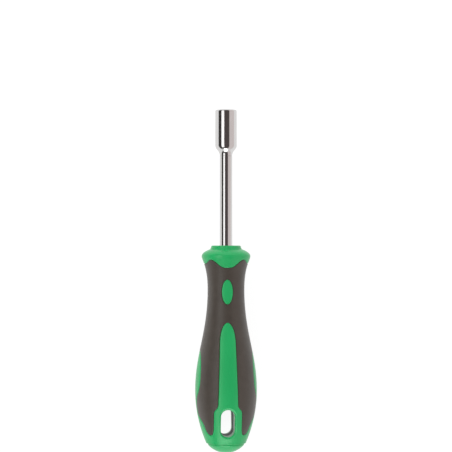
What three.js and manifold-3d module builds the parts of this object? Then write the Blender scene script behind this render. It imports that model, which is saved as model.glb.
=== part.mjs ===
// A nut driver: a hexagon socket on a round blade, in a screwdriver handle moulded from three
// plastics (a stiff core, a hard body and a soft grip) and closed by a domed cap.
// Lengths are in millimetres. The tool lies along Y with its socket towards +Y and its hanging
// slot upright along Z. Places along the handle are measured from its nose towards its tail.

import * as THREE from 'three';
import { mergeVertices } from 'three/addons/utils/BufferGeometryUtils.js';
import Module from 'manifold-3d';

// Clearances
const MOULD_GAP = 0.3; // between two plastics, or plastic and blade
const PRESS_GAP = 0.1; // round the spigot in the socket

// Drive socket
const NUT_SIZE = 8; // across the flats of the nut that it turns
const HEXAGON_PLAY = 0.1; // added across the flats
const HEXAGON_DEPTH = 11;
const HEXAGON_LEAD_IN = 0.45; // chamfer at the mouth
const PILOT_DIAMETER = 7.7; // hole drilled ahead of the hexagon
const PILOT_DEPTH = 14; // its straight part
const DRILL_POINT = 118; // degrees
const SOCKET_DIAMETER = 12;
const SOCKET_BARREL = 19.5; // straight part, from the mouth
const SOCKET_TAPER = 6; // from the barrel down to the blade
const SOCKET_EDGE = 0.9; // rounded front edge

// Blade
const BLADE_LENGTH = 75; // from the nose of the handle to the mouth of the socket
const BLADE_DIAMETER = 7;
const SPIGOT_DIAMETER = 4.6; // turned down end that is pressed into the socket
const SPIGOT_LENGTH = 6;
const TANG_LENGTH = 68; // part of the blade inside the handle
const TANG_CHAMFER = 1;
const WING_REACH = 1.5; // coined wings that stop the blade turning in the core
const WING_THICKNESS = 2.6;
const WING_LENGTH = 14;
const WING_POSITION = 48;
const WING_RAMP = 2.5; // slope at each end of a wing

// Outer form of the handle
const HANDLE_LENGTH = 114.4;
const NOSE_DIAMETER = 16.4; // at the front
const NOSE_FOOT_DIAMETER = 17.5;
const NOSE_LENGTH = 2;
const NOSE_EDGE = 0.8;
const COLLAR_DIAMETER = 26.9;
const COLLAR_POSITION = 5.9;
const COLLAR_RIM = 2.2; // rim ahead of the widest place of the collar
const COLLAR_RUN = 2.2; // how far the collar holds its width towards the waist
const NECK_RUN = 13; // how far the waist holds its width towards the collar
const WAIST_DIAMETER = 20.3;
const WAIST_POSITION = 24.2;
const WAIST_RUN = 24; // how far the waist holds its width towards the bulge
const BULGE_RUN = 20; // how far the bulge holds its width towards the waist
const BULGE_DIAMETER = 34.1;
const BULGE_POSITION = 79.5;
const TAIL_DIAMETER = 22.3;
const TAIL_EDGE = 0.6;

// End cap
const CAP_HEIGHT = 5.4; // from the tail face to the end of the handle
const CAP_DIAMETER = 20;
const CAP_RIM = 0.9; // upright edge under the dome
const CAP_SPIGOT_DIAMETER = 12;
const CAP_SPIGOT_LENGTH = 1.6;

// Hanging slot, front to back through the handle
const SLOT_WIDTH = 7.7;
const SLOT_LENGTH = 15.2;
const SLOT_TO_TAIL = 4.2; // wall between the slot and the tail face
const SLOT_BEVEL = 1.2;
const LINING_WALL = 1.6; // hard plastic round the front half of the slot
const LINING_FOOT = 3; // height of its lower end above the tool's axis

// Soft grip and the hard panels that show through it
const GRIP_THICKNESS = 2.2;
const CREST_POSITION = 7.8; // top of the four waves of the grip under the collar
const FRONT_DIP_POSITION = 12.2; // foot of the collar at front and back
const SIDE_DIP_POSITION = 10; // foot of the collar at both sides
const WAVE_POWER = 4; // higher for narrower crests between the dips
const OVAL_WIDTH = 6.4;
const OVAL_LENGTH = 13.7;
const OVAL_POSITION = 25.4;
const RIB_POSITION = 42.1; // round end of the front and back ribs
const RIB_TIP_LENGTH = 12;
const RIB_TIP_WIDTH = 9.15;
const RIB_ROOT_WIDTH = 11.3; // where the rib flares out around the slot
const FLARE_LEAD = 2.8; // how far ahead of the slot the flare begins
const FLARE_LENGTH = 5;
const SLOT_LAND = 4.1; // hard land on each side of the slot
const LOBE_TO_TAIL = 5.2; // from the tip of a grip lobe to the tail face
const LOBE_TIP_LENGTH = 3.6; // over which the lobe rounds to its tip
const LEAF_POSITION = 57.7; // round end of the leaf on each side
const LEAF_LENGTH = 16.8; // from that end to its widest place
const LEAF_WIDTH = 15.8;
const LEAF_NECK_WIDTH = 4.4;
const LEAF_NECK_TO_TAIL = 19.4;
const LEAF_FOOT_WIDTH = 14.4; // below the neck, between two lobes

// Core
const BODY_WALL = 1.6; // hard plastic between the grip and the core
const CORE_POSITION = 4; // front face of the core

// Facets
const ROUND_STEPS = 36;
const WAVE_STEPS = 72;
const CURVE_STEPS = 7;
const EDGE_STEPS = 2; // round a small edge
const RIM_STEPS = 4;
const SWELL_STEPS = 9; // from the waist to the bulge
const TAIL_STEPS = 6;
const INNER_STEPS = 9; // along the hidden inner surfaces
const WELD = 1e-4;
const OVERSHOOT = 3; // how far a cutter reaches past what it cuts

// Places that follow from the sizes above
const TAIL_POSITION = HANDLE_LENGTH - CAP_HEIGHT;
const SLOT_END = TAIL_POSITION - SLOT_TO_TAIL;
const SLOT_START = SLOT_END - SLOT_LENGTH;
const LOBE_POSITION = TAIL_POSITION - LOBE_TO_TAIL;
const CORE_END = TAIL_POSITION - CAP_SPIGOT_LENGTH - MOULD_GAP;
const SOCKET_REAR = BLADE_LENGTH - SOCKET_BARREL - SOCKET_TAPER;
const CUT_WIDTH = Math.max(BULGE_DIAMETER, COLLAR_DIAMETER) + 2 * OVERSHOOT;

const wasm = await Module();
wasm.setup();

// Solids

function solid(geometry) {
  const bare = geometry.index ? geometry.toNonIndexed() : geometry.clone();
  bare.deleteAttribute('normal');
  bare.deleteAttribute('uv');
  const merged = mergeVertices(bare, WELD);
  const index = merged.index.array;
  const triangles = [];
  for (let i = 0; i < index.length; i += 3) {
    const [a, b, c] = index.slice(i, i + 3);
    if (a !== b && b !== c && c !== a) triangles.push(a, b, c);
  }
  return new wasm.Manifold(new wasm.Mesh({
    numProp: 3,
    vertProperties: new Float32Array(merged.attributes.position.array),
    triVerts: new Uint32Array(triangles),
  }));
}

function meshOf(name, body, material) {
  const { vertProperties, triVerts } = body.getMesh();
  const geometry = new THREE.BufferGeometry();
  geometry.setAttribute('position', new THREE.BufferAttribute(vertProperties, 3));
  geometry.setIndex(new THREE.BufferAttribute(triVerts, 1));
  geometry.computeVertexNormals();
  const mesh = new THREE.Mesh(geometry, material);
  mesh.name = name;
  return mesh;
}

// A body of revolution from [radius, y] pairs, listed from the socket's end towards the tail.
function revolve(profile) {
  const upward = profile.map(([radius, y]) => new THREE.Vector2(radius, y)).reverse();
  return solid(new THREE.LatheGeometry(upward, ROUND_STEPS));
}

function prism(shape, depth) {
  const geometry = new THREE.ExtrudeGeometry(shape, {
    depth,
    curveSegments: CURVE_STEPS,
    bevelEnabled: false,
  });
  return geometry.translate(0, 0, -depth / 2);
}

// A closed outline from its right half, whose first point is on the middle line.
function mirrored(half) {
  const right = half.getPoints(CURVE_STEPS);
  const left = right.slice(1).map((p) => new THREE.Vector2(-p.x, p.y)).reverse();
  return new THREE.Shape([...right, ...left]);
}

// A smooth step to (x, y) that leaves and arrives along Y.
function easeTo(path, x, y) {
  const from = path.currentPoint.clone();
  const middle = (from.y + y) / 2;
  path.bezierCurveTo(from.x, middle, x, middle, x, y);
}

// A closed skin over rings of equal count, with a fan over the first ring and the last.
function loft(rings) {
  const count = rings[0].length;
  const points = rings.flat();
  const index = [];
  for (let r = 0; r + 1 < rings.length; r++) {
    for (let i = 0; i < count; i++) {
      const a = r * count + i;
      const b = r * count + (i + 1) % count;
      index.push(a, b, b + count, a, b + count, a + count);
    }
  }
  const last = (rings.length - 1) * count;
  const bottom = points.push(middleOf(rings[0])) - 1;
  const top = points.push(middleOf(rings.at(-1))) - 1;
  for (let i = 0; i < count; i++) {
    const next = (i + 1) % count;
    index.push(bottom, next, i);
    index.push(top, last + i, last + next);
  }
  return new THREE.BufferGeometry().setFromPoints(points).setIndex(index);
}

function middleOf(ring) {
  const sum = ring.reduce((total, p) => total.add(p), new THREE.Vector3());
  return sum.divideScalar(ring.length);
}

// Outer form of the handle

// The outline from the edge of the nose to the edge of the tail, as points (radius, y).
function handleOutline() {
  const at = (radius, place) => new THREE.Vector2(radius, -place);
  const nose = NOSE_DIAMETER / 2;
  const noseFoot = NOSE_FOOT_DIAMETER / 2;
  const collar = COLLAR_DIAMETER / 2;
  const waist = WAIST_DIAMETER / 2;
  const bulge = BULGE_DIAMETER / 2;
  const tail = TAIL_DIAMETER / 2;
  const tailRun = TAIL_POSITION - TAIL_EDGE - BULGE_POSITION;
  const tailTurn = 2 * Math.atan2(bulge - tail, tailRun);
  const tailRadius = tailRun / Math.sin(tailTurn);
  const curves = [
    [EDGE_STEPS, new THREE.QuadraticBezierCurve(
      at(nose - NOSE_EDGE, 0), at(nose, 0), at(nose, NOSE_EDGE))],
    [RIM_STEPS, new THREE.QuadraticBezierCurve(
      at(noseFoot, NOSE_LENGTH), at(collar, COLLAR_POSITION - COLLAR_RIM), at(collar, COLLAR_POSITION))],
    [CURVE_STEPS, new THREE.CubicBezierCurve(
      at(collar, COLLAR_POSITION), at(collar, COLLAR_POSITION + COLLAR_RUN),
      at(waist, WAIST_POSITION - NECK_RUN), at(waist, WAIST_POSITION))],
    [SWELL_STEPS, new THREE.CubicBezierCurve(
      at(waist, WAIST_POSITION), at(waist, WAIST_POSITION + WAIST_RUN),
      at(bulge, BULGE_POSITION - BULGE_RUN), at(bulge, BULGE_POSITION))],
    [TAIL_STEPS, new THREE.EllipseCurve(
      bulge - tailRadius, -BULGE_POSITION, tailRadius, tailRadius, 0, -tailTurn, true)],
    [EDGE_STEPS, new THREE.QuadraticBezierCurve(
      at(tail, TAIL_POSITION - TAIL_EDGE), at(tail, TAIL_POSITION), at(tail - TAIL_EDGE, TAIL_POSITION))],
  ];
  const points = curves.flatMap(([steps, curve]) => curve.getPoints(steps));
  return points.filter((p, i) => i === 0 || p.distanceTo(points[i - 1]) > WELD);
}

const OUTLINE = handleOutline();

function radiusAt(place) {
  const next = OUTLINE.findIndex((p) => -p.y >= place);
  if (next === 0) return OUTLINE[0].x;
  if (next < 0) return OUTLINE.at(-1).x;
  const [a, b] = [OUTLINE[next - 1], OUTLINE[next]];
  return THREE.MathUtils.mapLinear(place, -a.y, -b.y, a.x, b.x);
}

// The whole form, drawn out by an outset.
function handleBlank(outset) {
  const line = OUTLINE.map((p) => [p.x + outset, p.y]);
  return revolve([[0, 0], ...line, [0, -TAIL_POSITION]]);
}

// Points on an inner surface between two places, drawn in from the form by an inset.
function insideLine(inset, start, end) {
  const line = [];
  for (let i = 0; i <= INNER_STEPS; i++) {
    const place = THREE.MathUtils.lerp(start, end, i / INNER_STEPS);
    line.push([radiusAt(place) - inset, -place]);
  }
  return line;
}

// Hard panels that show through the grip. Each is a cutter, drawn in from its outline by gap.

// Everything ahead of the waved foot of the collar.
function collarPanel(gap) {
  const inner = BLADE_DIAMETER / 2;
  const ring = new THREE.LatheGeometry([
    new THREE.Vector2(inner, 0),
    new THREE.Vector2(CUT_WIDTH, 0),
    new THREE.Vector2(CUT_WIDTH, OVERSHOOT),
    new THREE.Vector2(inner, OVERSHOOT),
    new THREE.Vector2(inner, 0),
  ], WAVE_STEPS);
  const points = ring.attributes.position;
  for (let i = 0; i < points.count; i++) {
    if (points.getY(i) > 0) continue;
    const angle = Math.atan2(points.getX(i), points.getZ(i));
    const dip = THREE.MathUtils.lerp(SIDE_DIP_POSITION, FRONT_DIP_POSITION, Math.cos(angle) ** 2);
    const foot = THREE.MathUtils.lerp(dip, CREST_POSITION, Math.sin(2 * angle) ** WAVE_POWER);
    points.setY(i, gap - foot);
  }
  return solid(ring);
}

// The ovals at front and back of the waist.
function ovalPanel(gap) {
  const oval = new THREE.Shape();
  oval.absellipse(0, -OVAL_POSITION, OVAL_WIDTH / 2 - gap, OVAL_LENGTH / 2 - gap, 0, 2 * Math.PI);
  return solid(prism(oval, CUT_WIDTH));
}

// The lower end of a panel's half outline: round the tip of a lobe, then out past the tail.
function finishAtTail(half, gap) {
  const foot = LOBE_POSITION + gap;
  const corner = half.currentPoint.x;
  const lobe = radiusAt(LOBE_POSITION) * Math.SQRT1_2 - gap;
  half.lineTo(corner, LOBE_TIP_LENGTH - foot);
  half.quadraticCurveTo(corner, -foot, lobe, -foot);
  half.lineTo(CUT_WIDTH, -foot);
  half.lineTo(CUT_WIDTH, -TAIL_POSITION - OVERSHOOT);
}

// The front and back ribs, the lands beside the slot and the tail, as seen from the front.
function frontPanel(gap) {
  const tip = RIB_TIP_WIDTH / 2 - gap;
  const shoulder = RIB_POSITION + RIB_TIP_LENGTH;
  const flare = SLOT_START - FLARE_LEAD;
  const half = new THREE.Path();
  half.absellipse(0, -shoulder, tip, RIB_TIP_LENGTH - gap, Math.PI / 2, 0, true);
  half.lineTo(RIB_ROOT_WIDTH / 2 - gap, -flare);
  easeTo(half, SLOT_WIDTH / 2 + SLOT_LAND - gap, -flare - FLARE_LENGTH);
  finishAtTail(half, gap);
  return solid(prism(mirrored(half), CUT_WIDTH));
}

// The leaf on each side, with the neck and foot that join it to the tail, as seen from the side.
function sidePanel(gap) {
  const leaf = LEAF_WIDTH / 2 - gap;
  const widest = LEAF_POSITION + LEAF_LENGTH;
  const half = new THREE.Path();
  half.absellipse(0, -widest, leaf, LEAF_LENGTH - gap, Math.PI / 2, 0, true);
  easeTo(half, LEAF_NECK_WIDTH / 2 - gap, LEAF_NECK_TO_TAIL - TAIL_POSITION);
  easeTo(half, LEAF_FOOT_WIDTH / 2 - gap, LOBE_TIP_LENGTH - LOBE_POSITION - gap);
  finishAtTail(half, gap);
  return solid(prism(mirrored(half), CUT_WIDTH).rotateY(Math.PI / 2));
}

// The floor under the grip, run on past both ends of the handle.
function gripFloor(gap) {
  const line = insideLine(GRIP_THICKNESS + gap, COLLAR_POSITION, TAIL_POSITION - TAIL_EDGE);
  const end = -TAIL_POSITION - OVERSHOOT;
  const [front] = line[0];
  const [back] = line.at(-1);
  return revolve([[0, OVERSHOOT], [front, OVERSHOOT], ...line, [back, end], [0, end]]);
}

// The space of the grip: a sleeve in the handle's form with the hard panels cut out of it.
function gripSpace(gap, outset) {
  return handleBlank(outset)
    .subtract(gripFloor(gap))
    .subtract(collarPanel(gap))
    .subtract(ovalPanel(gap))
    .subtract(frontPanel(gap))
    .subtract(sidePanel(gap));
}

// Hanging slot

// Points round the slot, widened by grow, each at a height set by its place.
function slotRing(grow, height) {
  const radius = SLOT_WIDTH / 2 + grow;
  const ring = [];
  for (const [end, start] of [[SLOT_START + SLOT_WIDTH / 2, 0], [SLOT_END - SLOT_WIDTH / 2, Math.PI]]) {
    for (let i = 0; i <= CURVE_STEPS; i++) {
      const angle = start + Math.PI * i / CURVE_STEPS;
      const x = radius * Math.cos(angle);
      const y = radius * Math.sin(angle) - end;
      ring.push(new THREE.Vector3(x, y, height(x, y)));
    }
  }
  return ring;
}

function slotCut() {
  const reach = CUT_WIDTH / 2;
  return solid(loft([slotRing(0, () => -reach), slotRing(0, () => reach)]));
}

// The bevel round the slot, which follows the handle's curved surface; turned for the back.
function slotBevel(turn) {
  const surface = (x, y) => Math.sqrt(radiusAt(-y) ** 2 - x ** 2);
  const cutter = loft([
    slotRing(0, (x, y) => surface(x, y) - SLOT_BEVEL),
    slotRing(SLOT_BEVEL, surface),
    slotRing(2 * SLOT_BEVEL, (x, y) => surface(x, y) + SLOT_BEVEL),
  ]);
  return solid(cutter.rotateY(turn));
}

// The wall that lines the front half of the slot, solid across the slot. grow makes the room for it.
function slotLining(grow) {
  const foot = slotRing(LINING_WALL + grow, () => LINING_FOOT - grow);
  const top = slotRing(LINING_WALL + grow, () => CUT_WIDTH / 2);
  return solid(loft([foot, top]));
}

// Sub-parts

function socket() {
  const radius = SOCKET_DIAMETER / 2;
  const blade = BLADE_DIAMETER / 2;
  const edge = new THREE.EllipseCurve(
    radius - SOCKET_EDGE, BLADE_LENGTH - SOCKET_EDGE, SOCKET_EDGE, SOCKET_EDGE, Math.PI / 2, 0, true);
  const taper = new THREE.Path().moveTo(radius, BLADE_LENGTH - SOCKET_BARREL);
  easeTo(taper, blade, SOCKET_REAR);
  const outside = revolve([
    [0, BLADE_LENGTH],
    ...edge.getPoints(RIM_STEPS).map((p) => [p.x, p.y]),
    ...taper.getPoints(CURVE_STEPS).map((p) => [p.x, p.y]),
    [0, SOCKET_REAR],
  ]);
  const flats = NUT_SIZE + HEXAGON_PLAY;
  const corner = flats / Math.sqrt(3);
  const mouth = BLADE_LENGTH + OVERSHOOT;
  const hexagonLength = HEXAGON_DEPTH + OVERSHOOT;
  const hexagon = new THREE.CylinderGeometry(corner, corner, hexagonLength, 6)
    .translate(0, mouth - hexagonLength / 2, 0);
  const leadIn = revolve([
    [0, mouth],
    [flats / 2 + HEXAGON_LEAD_IN + OVERSHOOT, mouth],
    [flats / 2, BLADE_LENGTH - HEXAGON_LEAD_IN],
    [0, BLADE_LENGTH - HEXAGON_LEAD_IN],
  ]);
  const pilot = PILOT_DIAMETER / 2;
  const point = pilot / Math.tan(THREE.MathUtils.degToRad(DRILL_POINT / 2));
  const drilled = revolve([
    [0, mouth],
    [pilot, mouth],
    [pilot, BLADE_LENGTH - PILOT_DEPTH],
    [0, BLADE_LENGTH - PILOT_DEPTH - point],
  ]);
  const bore = SPIGOT_DIAMETER / 2 + PRESS_GAP;
  const seat = revolve([
    [0, SOCKET_REAR + SPIGOT_LENGTH + PRESS_GAP],
    [bore, SOCKET_REAR + SPIGOT_LENGTH + PRESS_GAP],
    [bore, SOCKET_REAR - OVERSHOOT],
    [0, SOCKET_REAR - OVERSHOOT],
  ]);
  return outside.subtract(solid(hexagon)).subtract(leadIn).subtract(drilled).subtract(seat);
}

function wings(gap) {
  const blade = BLADE_DIAMETER / 2 + gap;
  const start = WING_POSITION - gap;
  const end = WING_POSITION + WING_LENGTH + gap;
  const half = new THREE.Path()
    .moveTo(0, -start)
    .lineTo(blade, -start)
    .lineTo(blade + WING_REACH, -start - WING_RAMP)
    .lineTo(blade + WING_REACH, WING_RAMP - end)
    .lineTo(blade, -end)
    .lineTo(0, -end);
  const right = half.getPoints();
  const left = right.slice(1, -1).map((p) => new THREE.Vector2(-p.x, p.y)).reverse();
  return solid(prism(new THREE.Shape([...right, ...left]), WING_THICKNESS + 2 * gap));
}

function blade() {
  const radius = BLADE_DIAMETER / 2;
  const spigot = SPIGOT_DIAMETER / 2;
  const rod = revolve([
    [0, SOCKET_REAR + SPIGOT_LENGTH],
    [spigot, SOCKET_REAR + SPIGOT_LENGTH],
    [spigot, SOCKET_REAR],
    [radius, SOCKET_REAR],
    [radius, TANG_CHAMFER - TANG_LENGTH],
    [radius - TANG_CHAMFER, -TANG_LENGTH],
    [0, -TANG_LENGTH],
  ]);
  return rod.add(wings(0));
}

// The way of the blade through the plastics, from ahead of the nose to the end of its tang.
function bladeWay() {
  const radius = BLADE_DIAMETER / 2 + MOULD_GAP;
  return revolve([
    [0, OVERSHOOT],
    [radius, OVERSHOOT],
    [radius, -TANG_LENGTH - MOULD_GAP],
    [0, -TANG_LENGTH - MOULD_GAP],
  ]);
}

// The core is a plain stem up to the waist, and from there keeps an even wall of hard plastic
// round itself. grow makes the room for it.
function coreBlank(grow) {
  const inset = GRIP_THICKNESS + BODY_WALL + 2 * MOULD_GAP - grow;
  const line = insideLine(inset, WAIST_POSITION, CORE_END);
  const start = grow - CORE_POSITION;
  const end = -CORE_END - grow;
  const [stem] = line[0];
  const [foot] = line.at(-1);
  return revolve([[0, start], [stem, start], ...line, [foot, end], [0, end]]);
}

function core() {
  return coreBlank(0)
    .subtract(bladeWay())
    .subtract(wings(MOULD_GAP))
    .subtract(slotLining(MOULD_GAP))
    .subtract(slotCut());
}

function capSeat() {
  const radius = CAP_SPIGOT_DIAMETER / 2 + MOULD_GAP;
  return revolve([
    [0, -CORE_END],
    [radius, -CORE_END],
    [radius, -TAIL_POSITION - OVERSHOOT],
    [0, -TAIL_POSITION - OVERSHOOT],
  ]);
}

function body() {
  return handleBlank(0)
    .subtract(gripSpace(MOULD_GAP, OVERSHOOT))
    .subtract(coreBlank(MOULD_GAP).subtract(slotLining(0)))
    .subtract(bladeWay())
    .subtract(capSeat())
    .subtract(slotCut())
    .subtract(slotBevel(0))
    .subtract(slotBevel(Math.PI));
}

function grip() {
  return gripSpace(0, 0);
}

function cap() {
  const radius = CAP_DIAMETER / 2;
  const spigot = CAP_SPIGOT_DIAMETER / 2;
  const rise = CAP_HEIGHT - CAP_RIM;
  const domeRadius = (radius ** 2 + rise ** 2) / (2 * rise);
  const domeAngle = Math.asin(radius / domeRadius);
  const dome = new THREE.EllipseCurve(
    0, domeRadius - HANDLE_LENGTH, domeRadius, domeRadius, domeAngle - Math.PI / 2, -Math.PI / 2, true);
  return revolve([
    [0, CAP_SPIGOT_LENGTH - TAIL_POSITION],
    [spigot, CAP_SPIGOT_LENGTH - TAIL_POSITION],
    [spigot, -TAIL_POSITION],
    [radius, -TAIL_POSITION],
    ...dome.getPoints(CURVE_STEPS).map((p) => [Math.max(p.x, 0), p.y]),
  ]);
}

// Materials
const chrome = { color: 0xc9c6c4, roughness: 0.12, metalness: 1 };
const greenPlastic = { color: 0x2da961, roughness: 0.35, metalness: 0 };
const softPlastic = { color: 0x534c46, roughness: 0.6, metalness: 0 };
const corePlastic = { color: 0x3d423e, roughness: 0.5, metalness: 0 };

// The tool lies with its widest place on the ground and its middle over the origin.
const nutDriver = new THREE.Group();
nutDriver.position.set(0, (HANDLE_LENGTH - BLADE_LENGTH) / 2, BULGE_DIAMETER / 2);
const subParts = [
  ['socket', socket, chrome],
  ['blade', blade, chrome],
  ['handle_core', core, corePlastic],
  ['handle_body', body, greenPlastic],
  ['grip', grip, softPlastic],
  ['end_cap', cap, greenPlastic],
];
for (const [name, make, finish] of subParts) {
  nutDriver.add(meshOf(name, make(), new THREE.MeshStandardMaterial(finish)));
}

export default nutDriver;
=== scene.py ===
"""The looks of a nut driver: chromed socket and blade, green body, dark soft grip and domed end cap.

The pieces are modelled round the tool's own axis, with Y pointing to the socket and the nose of the
handle at Y 0, and are then moved to where the CAD part lies. A place is a distance from the nose towards
the tail. The skin of the handle is modelled flat, one quarter of it, and then rolled up.
"""

import math

import bmesh
import bpy
import numpy as np
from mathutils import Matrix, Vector


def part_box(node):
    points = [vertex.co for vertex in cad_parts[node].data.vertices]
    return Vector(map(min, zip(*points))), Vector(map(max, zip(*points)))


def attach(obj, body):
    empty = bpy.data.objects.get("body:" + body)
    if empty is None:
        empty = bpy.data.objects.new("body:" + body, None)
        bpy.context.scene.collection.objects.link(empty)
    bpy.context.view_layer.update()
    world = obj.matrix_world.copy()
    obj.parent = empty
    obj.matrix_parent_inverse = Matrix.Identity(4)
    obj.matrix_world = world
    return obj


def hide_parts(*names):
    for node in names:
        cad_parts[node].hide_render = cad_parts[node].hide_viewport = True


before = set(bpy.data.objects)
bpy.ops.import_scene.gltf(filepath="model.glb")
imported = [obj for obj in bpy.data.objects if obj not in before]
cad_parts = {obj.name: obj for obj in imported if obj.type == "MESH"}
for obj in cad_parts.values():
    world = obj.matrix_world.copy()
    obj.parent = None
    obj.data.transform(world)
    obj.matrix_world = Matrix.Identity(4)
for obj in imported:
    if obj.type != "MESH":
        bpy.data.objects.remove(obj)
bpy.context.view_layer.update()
MM = 0.001

# Where the tool lies, and its main sizes
BODY_LOW, BODY_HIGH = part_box("handle_body")
CAP_LOW, CAP_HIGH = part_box("end_cap")
CORE_LOW, CORE_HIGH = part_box("handle_core")
SOCKET_LOW, SOCKET_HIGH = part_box("socket")
BLADE_LOW, BLADE_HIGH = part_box("blade")
NOSE = BODY_HIGH.y
AXIS = (BODY_LOW.z + BODY_HIGH.z) / 2
TAIL = NOSE - BODY_LOW.y
HANDLE_END = NOSE - CAP_LOW.y
BULGE = (BODY_HIGH.x - BODY_LOW.x) / 2
CAP_RADIUS = (CAP_HIGH.x - CAP_LOW.x) / 2
SOCKET_RADIUS = (SOCKET_HIGH.x - SOCKET_LOW.x) / 2
SOCKET_MOUTH = SOCKET_HIGH.y - NOSE
SOCKET_REAR = SOCKET_LOW.y - NOSE
BLADE_RADIUS = (BLADE_HIGH.z - BLADE_LOW.z) / 2
TANG_END = NOSE - BLADE_LOW.y
CORE_START = NOSE - CORE_HIGH.y
CORE_END = NOSE - CORE_LOW.y

# Outline of the handle: radii, places and how far each swell holds its width
NOSE_RADIUS = 8.2 * MM
NOSE_FOOT = 8.75 * MM
NOSE_LENGTH = 2 * MM
NOSE_EDGE = 0.8 * MM
COLLAR = 13.45 * MM
COLLAR_PLACE = 5.9 * MM
COLLAR_RIM = 2.2 * MM
COLLAR_RUN = 2.2 * MM
NECK_RUN = 13 * MM
WAIST = 10.15 * MM
WAIST_PLACE = 24.2 * MM
WAIST_RUN = 24 * MM
BULGE_RUN = 20 * MM
BULGE_PLACE = 79.5 * MM
TAIL_RADIUS = 11.15 * MM
TAIL_EDGE = 0.6 * MM

# Outlines of the green panels that show through the grip
CREST_PLACE = 7.8 * MM
FRONT_DIP = 12.2 * MM
SIDE_DIP = 10 * MM
WAVE_POWER = 4
OVAL_WIDTH = 6.4 * MM
OVAL_LENGTH = 13.7 * MM
OVAL_PLACE = 25.4 * MM
RIB_PLACE = 42.1 * MM
RIB_TIP_LENGTH = 12 * MM
RIB_TIP_WIDTH = 9.15 * MM
RIB_ROOT_WIDTH = 11.3 * MM
FLARE_LEAD = 2.8 * MM
FLARE_LENGTH = 5 * MM
SLOT_WIDTH = 7.7 * MM
SLOT_LENGTH = 15.2 * MM
SLOT_END = TAIL - 4.2 * MM
SLOT_START = SLOT_END - SLOT_LENGTH
SLOT_LAND = 4.1 * MM
LINING_WALL = 1.6 * MM
LINING_FOOT = 3 * MM
LOBE_PLACE = TAIL - 5.2 * MM
LOBE_TIP_LENGTH = 3.6 * MM
LEAF_PLACE = 57.7 * MM
LEAF_LENGTH = 16.8 * MM
LEAF_WIDTH = 15.8 * MM
LEAF_NECK_WIDTH = 4.4 * MM
LEAF_NECK_PLACE = TAIL - 19.4 * MM
LEAF_FOOT_WIDTH = 14.4 * MM

# Walls and edges
GRIP_DEPTH = 2.2 * MM
PANEL_DEPTH = 3.2 * MM
FLOOR_DEPTH = 2.3 * MM
BODY_DEPTH = 4.3 * MM
CORE_DEPTH = 4.4 * MM
PARTING_GAP = 0.06 * MM
PANEL_EDGE = 0.55 * MM
GRIP_EDGE = 0.3 * MM
SLOT_EDGE = 1.2 * MM
BLADE_GAP = 0.12 * MM

# End cap
CAP_RIM = 0.9 * MM
CAP_EDGE = 0.35 * MM
CAP_SPIGOT = 6 * MM
CAP_SEAM = 0.03 * MM

# Socket and blade
SOCKET_BARREL = 19.5 * MM
SOCKET_EDGE = 0.9 * MM
SOCKET_FLATS = 8.1 * MM
HEXAGON_DEPTH = 11 * MM
LEAD_IN = 0.45 * MM
PILOT_RADIUS = 3.85 * MM
PILOT_DEPTH = 14 * MM
REAR_CHAMFER = 0.15 * MM
DRILL_POINT = math.radians(118)
SPIGOT_RADIUS = 2.3 * MM
SPIGOT_LENGTH = 6 * MM
PRESS_GAP = 0.1 * MM
TANG_CHAMFER = 1 * MM
WING_REACH = 1.5 * MM
WING_THICKNESS = 2.6 * MM
WING_PLACE = 48 * MM
WING_LENGTH = 14 * MM
WING_RAMP = 2.5 * MM

# How finely the pieces are cut, and how wide a radian of the skin is when it is laid flat
UNROLL = 13 * MM
QUARTER = UNROLL * math.pi / 2
COLUMNS = 36
ROUND = 128
NOSE_STEPS = 6
COLLAR_STEPS = 14
NECK_STEPS = 22
SWELL_STEPS = 44
TAIL_STEPS = 26
TAIL_EDGE_STEPS = 5
OVAL_STEPS = 48
RIB_TIP_STEPS = 24
RIB_SIDE_STEPS = 20
FLARE_STEPS = 16
LAND_STEPS = 8
LOBE_STEPS = 14
LEAF_TIP_STEPS = 36
LEAF_NECK_STEPS = 18
SLOT_STEPS = 16
SLOT_EDGE_STEPS = 6
PANEL_EDGE_STEPS = 4
CAP_DOME_STEPS = 20
CAP_EDGE_STEPS = 5
SOCKET_EDGE_STEPS = 8
SOCKET_TAPER_STEPS = 24
NEAR = 0.001 * MM
CUT_NEAR = NEAR / 10
PLASTIC_CREASE = math.radians(35)
METAL_CREASE = math.radians(30)

# Finishes: shades from dark to light, the range of roughness, and patterns by how many patches there are
# in a metre, how they are stretched and how deep they are
GREEN_SHADES = ((0.008, 0.385, 0.105), (0.011, 0.425, 0.118))
GREEN_ROUGHNESS = (0.27, 0.39)
GREEN_FLOW = 110
GREEN_FLOW_STRETCH = (1, 0.35, 1)
GREEN_GRAIN = 3200
GREEN_GRAIN_DEPTH = 0.009 * MM
GREEN_IOR = 1.5
GRIP_SHADES = ((0.053, 0.041, 0.032), (0.063, 0.05, 0.0395))
GRIP_ROUGHNESS = (0.36, 0.52)
GRIP_CLOUDS = 240
GRIP_GRAIN = 2600
GRIP_GRAIN_DEPTH = 0.03 * MM
GRIP_SHEEN = 0.1
GRIP_SHEEN_ROUGHNESS = 0.4
CORE_SHADES = ((0.018, 0.04, 0.026), (0.028, 0.058, 0.04))
CORE_ROUGHNESS = (0.5, 0.64)
CORE_SPECULAR = 0.25
CORE_FIBRES = 1900
CORE_FIBRE_STRETCH = (1, 0.2, 1)
CORE_FIBRE_DEPTH = 0.008 * MM
CHROME_SHADES = ((0.6, 0.59, 0.585), (0.66, 0.65, 0.645))
CHROME_ROUGHNESS = (0.09, 0.13)
TURNING_MARKS = 5200
TURNING_STRETCH = (0, 1, 0)
TURNING_DEPTH = 0.0002 * MM
HAIRLINES = 4200
HAIRLINE_STRETCH = (1, 0.015, 1)
NOISE_LOW = 0.3
NOISE_HIGH = 0.7

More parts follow.
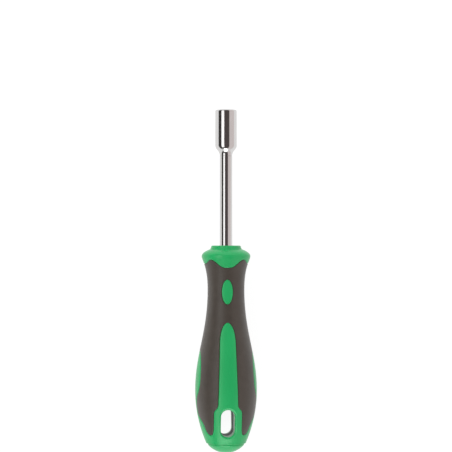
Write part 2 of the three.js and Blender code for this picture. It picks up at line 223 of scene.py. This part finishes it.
# Table, light and camera. The colours of the room go by the angle round the tool: 0 is up, 90 is right.
WHITE = (1, 1, 1, 1)
TABLE_SIZE = 20
TABLE_COLOUR = (0.8, 0.8, 0.8, 1)
TABLE_GLOW = 1.14
TABLE_SHADOW = 0.2
EVEN_LIGHT = 0.62
DARK_LEFT = (0.055, 0.052, 0.05)
DARK_TOP = (0.1, 0.082, 0.08)
PALE_RIGHT = (0.86, 0.78, 0.77)
STUDIO_WALLS = [
    (-180, DARK_LEFT),
    (-40, DARK_LEFT),
    (-30, DARK_TOP),
    (28, DARK_TOP),
    (35, PALE_RIGHT),
    (180, PALE_RIGHT),
]
ROOM_END_START = 0.75
ROOM_END_FULL = 1.0
CAMERA_AIM = 10.8 * MM
CAMERA_DISTANCE = 1.2
CAMERA_LEAN = math.radians(4.7)
CAMERA_VIEW = 249.6 * MM


# Outlines

def bezier(controls, steps):
    """Points on the Bezier curve with these control points."""
    points = []
    for step in range(steps + 1):
        row = [Vector(control) for control in controls]
        while len(row) > 1:
            row = [a.lerp(b, step / steps) for a, b in zip(row, row[1:])]
        points.append(row[0])
    return points


def arc(middle, width, height, start, end, steps):
    """Points on an ellipse between two angles, in degrees from the first axis."""
    points = []
    for step in range(steps + 1):
        angle = math.radians(start + (end - start) * step / steps)
        points.append(Vector((middle[0] + width * math.cos(angle), middle[1] + height * math.sin(angle))))
    return points


def ease(start, end, steps):
    """A smooth step between two (width, place) points that leaves and arrives lengthways."""
    middle = (start[1] + end[1]) / 2
    return bezier([start, (start[0], middle), (end[0], middle), end], steps)


def joined(*stretches):
    """One line from several, without the points that they share."""
    line = []
    for stretch in stretches:
        line += [p for i, p in enumerate(stretch) if i or not line or (p - line[-1]).length > NEAR]
    return line


def handle_outline():
    """The handle's outline, as (radius, place) points from the nose's edge to the tail's edge."""
    tail_run = TAIL - TAIL_EDGE - BULGE_PLACE
    turn = 2 * math.atan2(BULGE - TAIL_RADIUS, tail_run)
    sweep = tail_run / math.sin(turn)
    return joined(
        bezier([(NOSE_RADIUS - NOSE_EDGE, 0), (NOSE_RADIUS, 0), (NOSE_RADIUS, NOSE_EDGE)], NOSE_STEPS),
        bezier([(NOSE_FOOT, NOSE_LENGTH), (COLLAR, COLLAR_PLACE - COLLAR_RIM),
                (COLLAR, COLLAR_PLACE)], COLLAR_STEPS),
        bezier([(COLLAR, COLLAR_PLACE), (COLLAR, COLLAR_PLACE + COLLAR_RUN),
                (WAIST, WAIST_PLACE - NECK_RUN), (WAIST, WAIST_PLACE)], NECK_STEPS),
        bezier([(WAIST, WAIST_PLACE), (WAIST, WAIST_PLACE + WAIST_RUN),
                (BULGE, BULGE_PLACE - BULGE_RUN), (BULGE, BULGE_PLACE)], SWELL_STEPS),
        arc((BULGE - sweep, BULGE_PLACE), sweep, sweep, 0, math.degrees(turn), TAIL_STEPS),
        bezier([(TAIL_RADIUS, TAIL - TAIL_EDGE), (TAIL_RADIUS, TAIL),
                (TAIL_RADIUS - TAIL_EDGE, TAIL)], TAIL_EDGE_STEPS),
    )


OUTLINE = handle_outline()
OUTLINE_PLACES = [p.y for p in OUTLINE]
OUTLINE_RADII = [p.x for p in OUTLINE]


def radius_at(place):
    return float(np.interp(place, OUTLINE_PLACES, OUTLINE_RADII))


def flat(angle, place):
    """A point of the skin, laid flat."""
    return Vector((UNROLL * angle, -place, 0))


def from_front(width, place):
    return flat(math.asin(width / radius_at(place)), place)


def from_side(width, place):
    return flat(math.pi / 2 - math.asin(width / radius_at(place)), place)


def wave(gap):
    """The waved foot of the collar, from the front to the side."""
    line = []
    for column in range(2 * COLUMNS + 1):
        angle = math.pi / 2 * column / (2 * COLUMNS)
        dip = SIDE_DIP + (FRONT_DIP - SIDE_DIP) * math.cos(angle) ** 2
        foot = dip + (CREST_PLACE - dip) * math.sin(2 * angle) ** WAVE_POWER
        line.append(flat(angle, foot - gap))
    return line


def oval(gap):
    """The right half of the oval on the waist, from its top to its foot."""
    line = arc((0, OVAL_PLACE), OVAL_WIDTH / 2 - gap, OVAL_LENGTH / 2 - gap, -90, 90, OVAL_STEPS)
    return [from_front(max(p.x, 0), p.y) for p in line]


def lobe_tip(start, gap):
    """The end of a panel's outline, rounded to the tip of the lobe half way to the next panel."""
    foot = LOBE_PLACE + gap
    corner = start[0]
    half_way_round = math.sqrt(0.5)
    tip = radius_at(LOBE_PLACE) * half_way_round
    return bezier([(corner, foot - LOBE_TIP_LENGTH), (corner, foot), (tip, foot)], LOBE_STEPS)


def rib(gap):
    """The right half of the rib's outline, from its tip past the slot to the tip of the lobe."""
    tip = RIB_TIP_WIDTH / 2 - gap
    shoulder = RIB_PLACE + RIB_TIP_LENGTH
    root = (RIB_ROOT_WIDTH / 2 - gap, SLOT_START - FLARE_LEAD)
    land = (SLOT_WIDTH / 2 + SLOT_LAND - gap, SLOT_START - FLARE_LEAD + FLARE_LENGTH)
    lobe = lobe_tip(land, gap)
    line = joined(
        arc((0, shoulder), tip, RIB_TIP_LENGTH - gap, -90, 0, RIB_TIP_STEPS),
        bezier([(tip, shoulder), root], RIB_SIDE_STEPS),
        ease(root, land, FLARE_STEPS),
        bezier([land, lobe[0]], LAND_STEPS),
        lobe,
    )
    return [from_front(max(p.x, 0), p.y) for p in line]


def leaf(gap):
    """Half of the leaf's outline on the side, from its tip past its neck to the tip of the lobe."""
    wide = (LEAF_WIDTH / 2 - gap, LEAF_PLACE + LEAF_LENGTH)
    neck = (LEAF_NECK_WIDTH / 2 - gap, LEAF_NECK_PLACE)
    foot = (LEAF_FOOT_WIDTH / 2 - gap, LOBE_PLACE + gap - LOBE_TIP_LENGTH)
    line = joined(
        arc((0, wide[1]), wide[0], LEAF_LENGTH - gap, -90, 0, LEAF_TIP_STEPS),
        ease(wide, neck, LEAF_NECK_STEPS),
        ease(neck, foot, LEAF_NECK_STEPS),
        lobe_tip(foot, gap),
    )
    return [from_side(max(p.x, 0), p.y) for p in line]


def slot_half(grow):
    """The right half of the hanging slot seen from the front, from its top to its foot."""
    radius = SLOT_WIDTH / 2
    return joined(
        arc((0, SLOT_START + radius), radius + grow, radius + grow, -90, 0, SLOT_STEPS),
        arc((0, SLOT_END - radius), radius + grow, radius + grow, 0, 90, SLOT_STEPS),
    )


# Modelling by hand

def begin(name, points, filled):
    """A new piece with one point for each of these, in a ring, and a face in it if it is filled."""
    bpy.ops.object.select_all(action="DESELECT")
    bpy.ops.mesh.primitive_circle_add(vertices=len(points), fill_type="NGON" if filled else "NOTHING")
    piece = bpy.context.object
    piece.name = piece.data.name = name
    for vertex, point in zip(piece.data.vertices, points):
        vertex.co = point
    return piece


def editing(piece):
    bpy.ops.object.select_all(action="DESELECT")
    bpy.context.view_layer.objects.active = piece
    piece.select_set(True)
    bpy.ops.object.mode_set(mode="EDIT")
    bpy.ops.mesh.select_all(action="SELECT")


def done():
    bpy.ops.object.mode_set(mode="OBJECT")


def pick_corners(piece, wanted):
    bpy.ops.mesh.select_mode(type="VERT")
    bpy.ops.mesh.select_all(action="DESELECT")
    mesh = bmesh.from_edit_mesh(piece.data)
    for corner in mesh.verts:
        corner.select_set(wanted(corner))
    bmesh.update_edit_mesh(piece.data)


def pick_edges(piece, wanted):
    """Selects the edges whose two ends are both as wanted."""
    bpy.ops.mesh.select_mode(type="EDGE")
    bpy.ops.mesh.select_all(action="DESELECT")
    mesh = bmesh.from_edit_mesh(piece.data)
    for edge in mesh.edges:
        edge.select_set(wanted(edge.verts[0].co, edge.verts[1].co))
    bmesh.update_edit_mesh(piece.data)


def pick_faces(piece, wanted):
    bpy.ops.mesh.select_mode(type="FACE")
    bpy.ops.mesh.select_all(action="DESELECT")
    mesh = bmesh.from_edit_mesh(piece.data)
    for face in mesh.faces:
        face.select_set(wanted(face))
    bmesh.update_edit_mesh(piece.data)


def close_up():
    """Merges doubles and turns the faces outwards."""
    bpy.ops.mesh.select_mode(type="VERT")
    bpy.ops.mesh.select_all(action="SELECT")
    bpy.ops.mesh.remove_doubles(threshold=NEAR)
    bpy.ops.mesh.delete_loose()
    bpy.ops.mesh.select_all(action="SELECT")
    bpy.ops.mesh.normals_make_consistent(inside=False)


def apply(piece, kind, **settings):
    modifier = piece.modifiers.new(kind.title(), kind)
    for name, value in settings.items():
        setattr(modifier, name, value)
    bpy.context.view_layer.objects.active = piece
    bpy.ops.object.modifier_apply(modifier=modifier.name)


def combine(piece, tool, operation):
    """Joins a tool to a piece, or cuts it out, deletes the tool and cleans the new edges of slivers."""
    apply(piece, "BOOLEAN", object=tool, operation=operation, solver="MANIFOLD")
    bpy.data.objects.remove(tool)
    editing(piece)
    bpy.ops.mesh.dissolve_degenerate(threshold=NEAR)
    pick_corners(piece, lambda corner: len(corner.link_edges) == 2)
    bpy.ops.mesh.dissolve_verts()
    close_up()
    done()


def turned(name, profile):
    """A piece turned on a lathe from a ring of (radius, place) points."""
    piece = begin(name, [(radius, -place, 0) for radius, place in profile], filled=False)
    editing(piece)
    bpy.ops.mesh.spin(steps=ROUND, angle=2 * math.pi, center=(0, 0, 0), axis=(0, 1, 0))
    close_up()
    done()
    return piece


def prism(name, half, low, high):
    """A straight piece along Z, alike on both sides. Its right half has these (width, place) points."""
    right = [(width, -place, low) for width, place in half]
    left = [(-width, -place, low) for width, place in reversed(half[1:-1])]
    piece = begin(name, right + left, filled=True)
    editing(piece)
    bpy.ops.mesh.extrude_region_move(TRANSFORM_OT_translate={"value": (0, 0, high - low)})
    close_up()
    done()
    return piece


def finish(piece, node, material, crease=PLASTIC_CREASE):
    """Moves a piece to its place and gives it its finish. Edges sharper than the crease stay sharp."""
    bpy.ops.object.select_all(action="DESELECT")
    bpy.context.view_layer.objects.active = piece
    piece.select_set(True)
    bpy.ops.transform.translate(value=(0, NOSE, AXIS))
    bpy.ops.object.transform_apply(location=True, rotation=True, scale=True)
    bpy.ops.object.shade_smooth_by_angle(angle=crease)
    piece.data.materials.clear()
    piece.data.materials.append(material)
    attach(piece, "root")
    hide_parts(node)


# The skin of the handle

def uprightness(angle, place):
    """How far a wall under this point of the skin runs straight down and not towards the axis: wholly at
    the hanging slot, and not at all at the edge of the rib."""
    width = radius_at(place) * math.sin(angle)
    across = (SLOT_WIDTH / 2 + SLOT_LAND - width) / SLOT_LAND
    along = (place - SLOT_START + FLARE_LEAD) / FLARE_LEAD
    return min(max(across, 0), 1) * min(max(along, 0), 1)


def roll_up(piece):
    for vertex in piece.data.vertices:
        angle = vertex.co.x / UNROLL
        place = -vertex.co.y
        radius = radius_at(place)
        surface = Vector((math.sin(angle), 0, math.cos(angle)))
        inward = surface.lerp(Vector((0, 0, 1)), uprightness(angle, place))
        vertex.co = surface * radius + inward * vertex.co.z + Vector((0, vertex.co.y, 0))


def on_cut(a, b):
    """Whether an edge lies where the quarter is cut from the whole skin, or at an end of the handle."""
    return any((
        max(a.x, b.x) < NEAR,
        min(a.x, b.x) > QUARTER - NEAR,
        min(a.y, b.y) > -NEAR,
        max(a.y, b.y) < NEAR - TAIL,
    ))


def on_top(a, b):
    """Whether an edge of a flat plate lies on its outer face."""
    return min(a.z, b.z) > -NEAR


def at_slot(point):
    """Whether a flat point is on the rim of the hanging slot."""
    place = -point.y
    if not SLOT_START - NEAR < place < SLOT_END + NEAR:
        return False
    return radius_at(place) * math.sin(point.x / UNROLL) < SLOT_WIDTH / 2 + NEAR


def skin_piece(name, outline, depth, edge):
    """A piece of the skin: a flat plate with rounded edges, cut into rows and columns, rolled up round
    the handle and mirrored to all four quarters."""
    piece = begin(name, outline, filled=True)
    editing(piece)
    bpy.ops.mesh.extrude_region_move(TRANSFORM_OT_translate={"value": (0, 0, -depth)})
    close_up()
    pick_edges(piece, lambda a, b: on_top(a, b) and at_slot(a) and at_slot(b) and not on_cut(a, b))
    bpy.ops.mesh.bevel(offset=SLOT_EDGE, segments=SLOT_EDGE_STEPS, clamp_overlap=False)
    rim_limit = (SLOT_WIDTH / 2 + SLOT_EDGE + RIB_ROOT_WIDTH / 2) / 2

    def at_grip(point):
        """Whether a flat point is outside the slot's rounded rim."""
        place = -point.y
        width = radius_at(place) * math.sin(point.x / UNROLL)
        return width > rim_limit or place < SLOT_START - 2 * SLOT_EDGE

    pick_edges(piece, lambda a, b: on_top(a, b) and at_grip(a) and at_grip(b) and not on_cut(a, b))
    bpy.ops.mesh.bevel(offset=edge, segments=PANEL_EDGE_STEPS, clamp_overlap=False)
    lines = [((0, -place, 0), (0, 1, 0)) for place in OUTLINE_PLACES]
    lines += [((QUARTER * column / COLUMNS, 0, 0), (1, 0, 0)) for column in range(1, COLUMNS)]
    for point, normal in lines:
        bpy.ops.mesh.select_all(action="SELECT")
        bpy.ops.mesh.bisect(plane_co=point, plane_no=normal, threshold=CUT_NEAR)
    pick_faces(piece, lambda face: max(v.co.x for v in face.verts) < NEAR
               or min(v.co.x for v in face.verts) > QUARTER - NEAR)
    bpy.ops.mesh.delete(type="FACE")
    done()
    roll_up(piece)
    apply(piece, "MIRROR", use_axis=(True, False, True), merge_threshold=NEAR)
    editing(piece)
    close_up()
    done()
    return piece


def slot_block(name, grow, low, high):
    """A block with the outline of the hanging slot, grown, between two heights."""
    return prism(name, slot_half(grow), low, high)


def cut_slot(piece, grow):
    """Cuts the hanging slot right through a piece."""
    combine(piece, slot_block("slot", grow, -2 * BULGE, 2 * BULGE), "DIFFERENCE")


# The pieces of the tool

def inset_line(inset, start, end):
    """The handle's outline drawn in, between two places."""
    places = [start] + [p for p in OUTLINE_PLACES if start + NEAR < p < end - NEAR] + [end]
    return [(radius_at(place) - inset, place) for place in places]


def tang_wings(grow):
    """The two coined wings on the tang, which stop the blade turning in the core."""
    root = BLADE_RADIUS + grow
    start = WING_PLACE - grow
    end = WING_PLACE + WING_LENGTH + grow
    half = [
        (0, start),
        (root, start),
        (root + WING_REACH, start + WING_RAMP),
        (root + WING_REACH, end - WING_RAMP),
        (root, end),
        (0, end),
    ]
    height = WING_THICKNESS / 2 + grow
    return prism("wings", half, -height, height)


def make_grip(material):
    outline = [
        *wave(0),
        *leaf(0),
        *reversed(rib(0)[:-1]),
        *reversed(oval(0)),
    ]
    piece = skin_piece("soft_grip", outline, GRIP_DEPTH, GRIP_EDGE)
    finish(piece, "grip", material)


def make_body(material):
    bore = BLADE_RADIUS + BLADE_GAP
    seat = CAP_SPIGOT + CAP_SEAM
    stem = radius_at(WAIST_PLACE) - BODY_DEPTH
    floor = inset_line(FLOOR_DEPTH, 0, TAIL)
    room = inset_line(BODY_DEPTH, WAIST_PLACE, CORE_END)
    piece = turned("green_body", [
        (bore, 0),
        *floor,
        (seat, TAIL),
        (seat, CORE_END),
        *reversed(room),
        (stem, CORE_START),
        (bore, CORE_START),
    ])
    gap = PARTING_GAP
    collar = [flat(0, 0), flat(math.pi / 2, 0), *reversed(wave(gap))]
    slot = [from_front(max(p.x, 0), p.y) for p in slot_half(0)]
    lower = [
        *rib(gap),
        *reversed(leaf(gap)[:-1]),
        flat(math.pi / 2, TAIL),
        flat(0, TAIL),
        *reversed(slot),
    ]
    for name, outline in (("collar", collar), ("oval", oval(gap)), ("lower", lower)):
        combine(piece, skin_piece(name, outline, PANEL_DEPTH, PANEL_EDGE), "UNION")
    lining = slot_block("lining", LINING_WALL, LINING_FOOT, BULGE)
    within = inset_line((FLOOR_DEPTH + BODY_DEPTH) / 2, WAIST_PLACE, TAIL)
    combine(lining, turned("within", [(0, WAIST_PLACE), *within, (0, TAIL)]), "INTERSECT")
    combine(piece, lining, "UNION")
    cut_slot(piece, NEAR)
    finish(piece, "handle_body", material)


def make_core(material):
    bore = BLADE_RADIUS + BLADE_GAP
    stem = radius_at(WAIST_PLACE) - CORE_DEPTH
    tang_seat = TANG_END + BLADE_GAP
    line = inset_line(CORE_DEPTH, WAIST_PLACE, CORE_END)
    piece = turned("inner_core", [
        (bore, CORE_START),
        (stem, CORE_START),
        *line,
        (0, CORE_END),
        (0, tang_seat),
        (bore, tang_seat),
    ])
    combine(piece, tang_wings(BLADE_GAP), "DIFFERENCE")
    gap = CORE_DEPTH - BODY_DEPTH
    combine(piece, slot_block("lining", LINING_WALL + gap, LINING_FOOT - gap, BULGE), "DIFFERENCE")
    cut_slot(piece, 0)
    finish(piece, "handle_core", material)


def make_cap(material):
    rise = HANDLE_END - TAIL - CAP_RIM
    dome_radius = (CAP_RADIUS ** 2 + rise ** 2) / (2 * rise)
    middle = HANDLE_END - dome_radius
    dome_angle = math.asin((CAP_RADIUS - CAP_EDGE) / dome_radius)
    rim = TAIL + CAP_RIM
    dome = []
    for step in range(CAP_DOME_STEPS, -1, -1):
        angle = dome_angle * step / CAP_DOME_STEPS
        dome.append((dome_radius * math.sin(angle), middle + dome_radius * math.cos(angle)))
    edge = bezier([(CAP_RADIUS, rim - CAP_EDGE), (CAP_RADIUS, rim), dome[0]], CAP_EDGE_STEPS)
    piece = turned("end_cap_dome", [
        (0, CORE_END + CAP_SEAM),
        (CAP_SPIGOT, CORE_END + CAP_SEAM),
        (CAP_SPIGOT, TAIL + CAP_SEAM),
        (CAP_RADIUS, TAIL + CAP_SEAM),
        *[(p.x, p.y) for p in edge],
        *dome[1:],
    ])
    finish(piece, "end_cap", material)


def make_socket(material):
    front = -SOCKET_MOUTH
    rear = -SOCKET_REAR
    barrel_end = front + SOCKET_BARREL
    corner = (SOCKET_RADIUS - SOCKET_EDGE, front + SOCKET_EDGE)
    edge = arc(corner, SOCKET_EDGE, SOCKET_EDGE, -90, 0, SOCKET_EDGE_STEPS)
    taper = ease((SOCKET_RADIUS, barrel_end), (BLADE_RADIUS, rear - REAR_CHAMFER), SOCKET_TAPER_STEPS)
    mouth = SOCKET_FLATS / 2 + LEAD_IN
    drill_tip = front + PILOT_DEPTH + PILOT_RADIUS / math.tan(DRILL_POINT / 2)
    seat = SPIGOT_RADIUS + PRESS_GAP
    seat_end = rear - SPIGOT_LENGTH - PRESS_GAP
    piece = turned("hexagon_socket", [
        (0, drill_tip),
        (PILOT_RADIUS, front + PILOT_DEPTH),
        (PILOT_RADIUS, front + LEAD_IN),
        (mouth, front),
        *[(p.x, p.y) for p in edge],
        *[(p.x, p.y) for p in taper],
        (BLADE_RADIUS - REAR_CHAMFER, rear),
        (seat, rear),
        (seat, seat_end),
        (0, seat_end),
    ])
    bpy.ops.object.select_all(action="DESELECT")
    bpy.ops.mesh.primitive_cylinder_add(
        vertices=6, radius=SOCKET_FLATS / math.sqrt(3), depth=2 * HEXAGON_DEPTH,
        location=(0, SOCKET_MOUTH, 0), rotation=(math.pi / 2, 0, 0))
    hexagon = bpy.context.object
    combine(piece, hexagon, "DIFFERENCE")
    finish(piece, "socket", material, crease=METAL_CREASE)


def make_blade(material):
    rear = -SOCKET_REAR
    piece = turned("round_blade", [
        (0, rear - SPIGOT_LENGTH),
        (SPIGOT_RADIUS, rear - SPIGOT_LENGTH),
        (SPIGOT_RADIUS, rear),
        (BLADE_RADIUS - REAR_CHAMFER, rear),
        (BLADE_RADIUS, rear + REAR_CHAMFER),
        (BLADE_RADIUS, TANG_END - TANG_CHAMFER),
        (BLADE_RADIUS - TANG_CHAMFER, TANG_END),
        (0, TANG_END),
    ])
    combine(piece, tang_wings(0), "UNION")
    finish(piece, "blade", material, crease=METAL_CREASE)


# Finishes

def new_finish(name):
    """A new material, with its nodes and its main shader."""
    material = bpy.data.materials.new(name)
    material.use_nodes = True
    tree = material.node_tree
    return material, tree, tree.nodes["Principled BSDF"]


def set_inputs(tree, node, inputs):
    """Sets each input to a value, or links it to another node's output."""
    for name, value in inputs.items():
        if isinstance(value, bpy.types.NodeSocket):
            tree.links.new(value, node.inputs[name])
        else:
            node.inputs[name].default_value = value


def add_node(tree, kind, inputs, **settings):
    node = tree.nodes.new(kind)
    for name, value in settings.items():
        setattr(node, name, value)
    set_inputs(tree, node, inputs)
    return node


def place_on_tool(tree, scale=(1, 1, 1)):
    """Where a point is on the tool. A pattern is drawn out along an axis with a low scale."""
    place = add_node(tree, "ShaderNodeTexCoord", {}).outputs["Object"]
    return add_node(tree, "ShaderNodeMapping", {"Vector": place, "Scale": scale}).outputs["Vector"]


def noise(tree, place, per_metre, detail=2):
    inputs = {"Vector": place, "Scale": per_metre, "Detail": detail}
    return add_node(tree, "ShaderNodeTexNoise", inputs).outputs["Fac"]


def between(tree, factor, ends):
    """A number that follows a noise from the first of two ends to the second."""
    low, high = ends
    inputs = {
        "Value": factor,
        "From Min": NOISE_LOW,
        "From Max": NOISE_HIGH,
        "To Min": low,
        "To Max": high,
    }
    return add_node(tree, "ShaderNodeMapRange", inputs).outputs["Result"]


def shades(tree, factor, colours):
    """A colour that follows a noise from the first of two to the second."""
    node = add_node(tree, "ShaderNodeValToRGB", {"Fac": factor})
    for element, position, colour in zip(node.color_ramp.elements, (NOISE_LOW, NOISE_HIGH), colours):
        element.position = position
        element.color = (*colour, 1)
    return node.outputs["Color"]


def relief(tree, height, depth):
    """A fine relief of this depth."""
    return add_node(tree, "ShaderNodeBump", {"Height": height, "Distance": depth}).outputs["Normal"]


def green_plastic():
    """Hard moulded plastic: satin, with a spark-eroded grain and faint clouds from the mould's flow."""
    material, tree, shader = new_finish("green_plastic")
    place = place_on_tool(tree)
    flow = noise(tree, place_on_tool(tree, GREEN_FLOW_STRETCH), GREEN_FLOW, detail=4)
    grain = noise(tree, place, GREEN_GRAIN)
    set_inputs(tree, shader, {
        "Base Color": shades(tree, flow, GREEN_SHADES),
        "Roughness": between(tree, grain, GREEN_ROUGHNESS),
        "Normal": relief(tree, grain, GREEN_GRAIN_DEPTH),
        "IOR": GREEN_IOR,
    })
    return material


def soft_grip():
    """Soft-touch elastomer: matt, with a fine leathery grain and a dusty sheen."""
    material, tree, shader = new_finish("soft_grip")
    place = place_on_tool(tree)
    clouds = noise(tree, place, GRIP_CLOUDS, detail=5)
    grain = noise(tree, place, GRIP_GRAIN, detail=3)
    set_inputs(tree, shader, {
        "Base Color": shades(tree, clouds, GRIP_SHADES),
        "Roughness": between(tree, grain, GRIP_ROUGHNESS),
        "Normal": relief(tree, grain, GRIP_GRAIN_DEPTH),
        "Sheen Weight": GRIP_SHEEN,
        "Sheen Roughness": GRIP_SHEEN_ROUGHNESS,
    })
    return material


def core_plastic():
    """Stiff glass-filled plastic of the inner core, with short fibres showing faintly."""
    material, tree, shader = new_finish("core_plastic")
    fibres = noise(tree, place_on_tool(tree, CORE_FIBRE_STRETCH), CORE_FIBRES, detail=3)
    set_inputs(tree, shader, {
        "Base Color": shades(tree, fibres, CORE_SHADES),
        "Roughness": between(tree, fibres, CORE_ROUGHNESS),
        "Normal": relief(tree, fibres, CORE_FIBRE_DEPTH),
        "Specular IOR Level": CORE_SPECULAR,
    })
    return material


def chrome_plate():
    """Polished chrome: bright, with traces of the turning marks round it and hairlines along it."""
    material, tree, shader = new_finish("chrome")
    turning = noise(tree, place_on_tool(tree, TURNING_STRETCH), TURNING_MARKS, detail=3)
    hairlines = noise(tree, place_on_tool(tree, HAIRLINE_STRETCH), HAIRLINES)
    set_inputs(tree, shader, {
        "Base Color": shades(tree, hairlines, CHROME_SHADES),
        "Metallic": 1.0,
        "Roughness": between(tree, hairlines, CHROME_ROUGHNESS),
        "Normal": relief(tree, turning, TURNING_DEPTH),
    })
    return material


green = green_plastic()
chrome = chrome_plate()
make_socket(chrome)
make_blade(chrome)
make_core(core_plastic())
make_body(green)
make_grip(soft_grip())
make_cap(green)


# Table, light and camera

def any_of(tree, outputs):
    """1 where any of these outputs is 1, else 0."""
    total = outputs[0]
    for output in outputs[1:]:
        total = add_node(tree, "ShaderNodeMath", {0: total, 1: output}, operation="MAXIMUM").outputs[0]
    return total


def mixed(tree, factor, first, second):
    return add_node(tree, "ShaderNodeMixShader", {"Fac": factor, 1: first, 2: second}).outputs[0]


def white_table():
    """A white table, seen as white with a faint shadow. It lights the tool from below like pale board."""
    material, tree, shader = new_finish("white_table")
    rays = add_node(tree, "ShaderNodeLightPath", {}).outputs
    seen = any_of(tree, [rays["Is Camera Ray"], rays["Is Glossy Ray"], rays["Is Transmission Ray"]])
    board = add_node(tree, "ShaderNodeBsdfDiffuse", {"Color": TABLE_COLOUR}).outputs[0]
    white = add_node(tree, "ShaderNodeEmission", {"Color": WHITE, "Strength": TABLE_GLOW}).outputs[0]
    lit = mixed(tree, TABLE_SHADOW, white, board)
    tree.links.new(mixed(tree, seen, board, lit), tree.nodes["Material Output"].inputs["Surface"])
    return material


def studio_world():
    """Even light from all round, seen as white. What shines shows a dark room with a pale wall on the
    right and white ends ahead of the socket and behind the tail."""
    world = bpy.data.worlds.new("studio")
    world.use_nodes = True
    tree = world.node_tree
    rays = add_node(tree, "ShaderNodeLightPath", {}).outputs
    direction = add_node(tree, "ShaderNodeTexCoord", {}).outputs["Generated"]
    axes = add_node(tree, "ShaderNodeSeparateXYZ", {"Vector": direction}).outputs
    angle = add_node(tree, "ShaderNodeMath", {0: axes["X"], 1: axes["Z"]}, operation="ARCTAN2").outputs[0]
    turn = {"Value": angle, "From Min": -math.pi, "From Max": math.pi}
    share = add_node(tree, "ShaderNodeMapRange", turn)
    walls = add_node(tree, "ShaderNodeValToRGB", {"Fac": share.outputs["Result"]})
    stops = walls.color_ramp.elements
    stops_at_first = len(stops)
    for index, (degrees, colour) in enumerate(STUDIO_WALLS):
        element = stops[index] if index < stops_at_first else stops.new(1)
        element.position = 0.5 + degrees / 360
        element.color = (*colour, 1)
    even = add_node(tree, "ShaderNodeBackground", {"Color": WHITE, "Strength": EVEN_LIGHT}).outputs[0]
    sides = add_node(tree, "ShaderNodeBackground", {"Color": walls.outputs["Color"]}).outputs[0]
    white = add_node(tree, "ShaderNodeBackground", {"Color": WHITE}).outputs[0]
    along = add_node(tree, "ShaderNodeMath", {0: axes["Y"]}, operation="ABSOLUTE").outputs[0]
    inputs = {"Value": along, "From Min": ROOM_END_START, "From Max": ROOM_END_FULL}
    ends = add_node(tree, "ShaderNodeMapRange", inputs, interpolation_type="SMOOTHSTEP").outputs["Result"]
    room = mixed(tree, ends, sides, white)
    lit = mixed(tree, rays["Is Glossy Ray"], even, room)
    seen = any_of(tree, [rays["Is Camera Ray"], rays["Is Transmission Ray"]])
    tree.links.new(mixed(tree, seen, lit, white), tree.nodes["World Output"].inputs["Surface"])
    return world


def softbox(name, target, offset, width, height, glow, lights=True, shows=True):
    """A lamp with an even face, level along its width, that looks at a target from an offset to it. It
    can be one that only lights, or one that only shows in what shines."""
    lamp = bpy.data.lights.new(name, "AREA")
    lamp.shape = "RECTANGLE"
    lamp.size = width
    lamp.size_y = height
    lamp.energy = glow * math.pi * width * height
    holder = bpy.data.objects.new(name, lamp)
    bpy.context.scene.collection.objects.link(holder)
    holder.rotation_euler = offset.to_track_quat("Z", "Y").to_euler()
    holder.location = target + offset
    holder.visible_diffuse = lights
    holder.visible_glossy = shows


bpy.ops.object.select_all(action="DESELECT")
bpy.ops.mesh.primitive_plane_add(size=TABLE_SIZE)
table = bpy.context.object
table.name = "table"
table.data.materials.append(white_table())

bpy.context.scene.world = studio_world()
tool_middle = Vector((0, 0, AXIS))
tail_end = Vector((0, CAP_LOW.y, AXIS))
nose = Vector((0, NOSE, AXIS))
softbox(
    "left_softbox", tool_middle, offset=Vector((-0.565, 0, 0.7)),
    width=1.2, height=0.46, glow=1.6,
)
softbox(
    "tail_shine", tail_end, offset=Vector((-0.015, -0.08, 0.065)),
    width=0.12, height=0.1, glow=2.6, lights=False,
)
softbox(
    "tail_fill", tail_end, offset=Vector((0, -0.42, 0.15)),
    width=0.5, height=0.3, glow=1.6, shows=False,
)
softbox(
    "front_fill", nose, offset=Vector((0, 0.42, 0.2)),
    width=0.5, height=0.3, glow=1.6, shows=False,
)

camera_data = bpy.data.cameras.new("camera")
camera_data.angle = 2 * math.atan(CAMERA_VIEW / 2 / CAMERA_DISTANCE)
camera = bpy.data.objects.new("camera", camera_data)
bpy.context.scene.collection.objects.link(camera)
back = Vector((-math.sin(CAMERA_LEAN), 0, math.cos(CAMERA_LEAN)))
camera.location = Vector((0, NOSE + CAMERA_AIM, AXIS)) + CAMERA_DISTANCE * back
camera.rotation_euler = (0, -CAMERA_LEAN, 0)
bpy.context.scene.camera = camera

bpy.context.scene.view_settings.view_transform = "Standard"
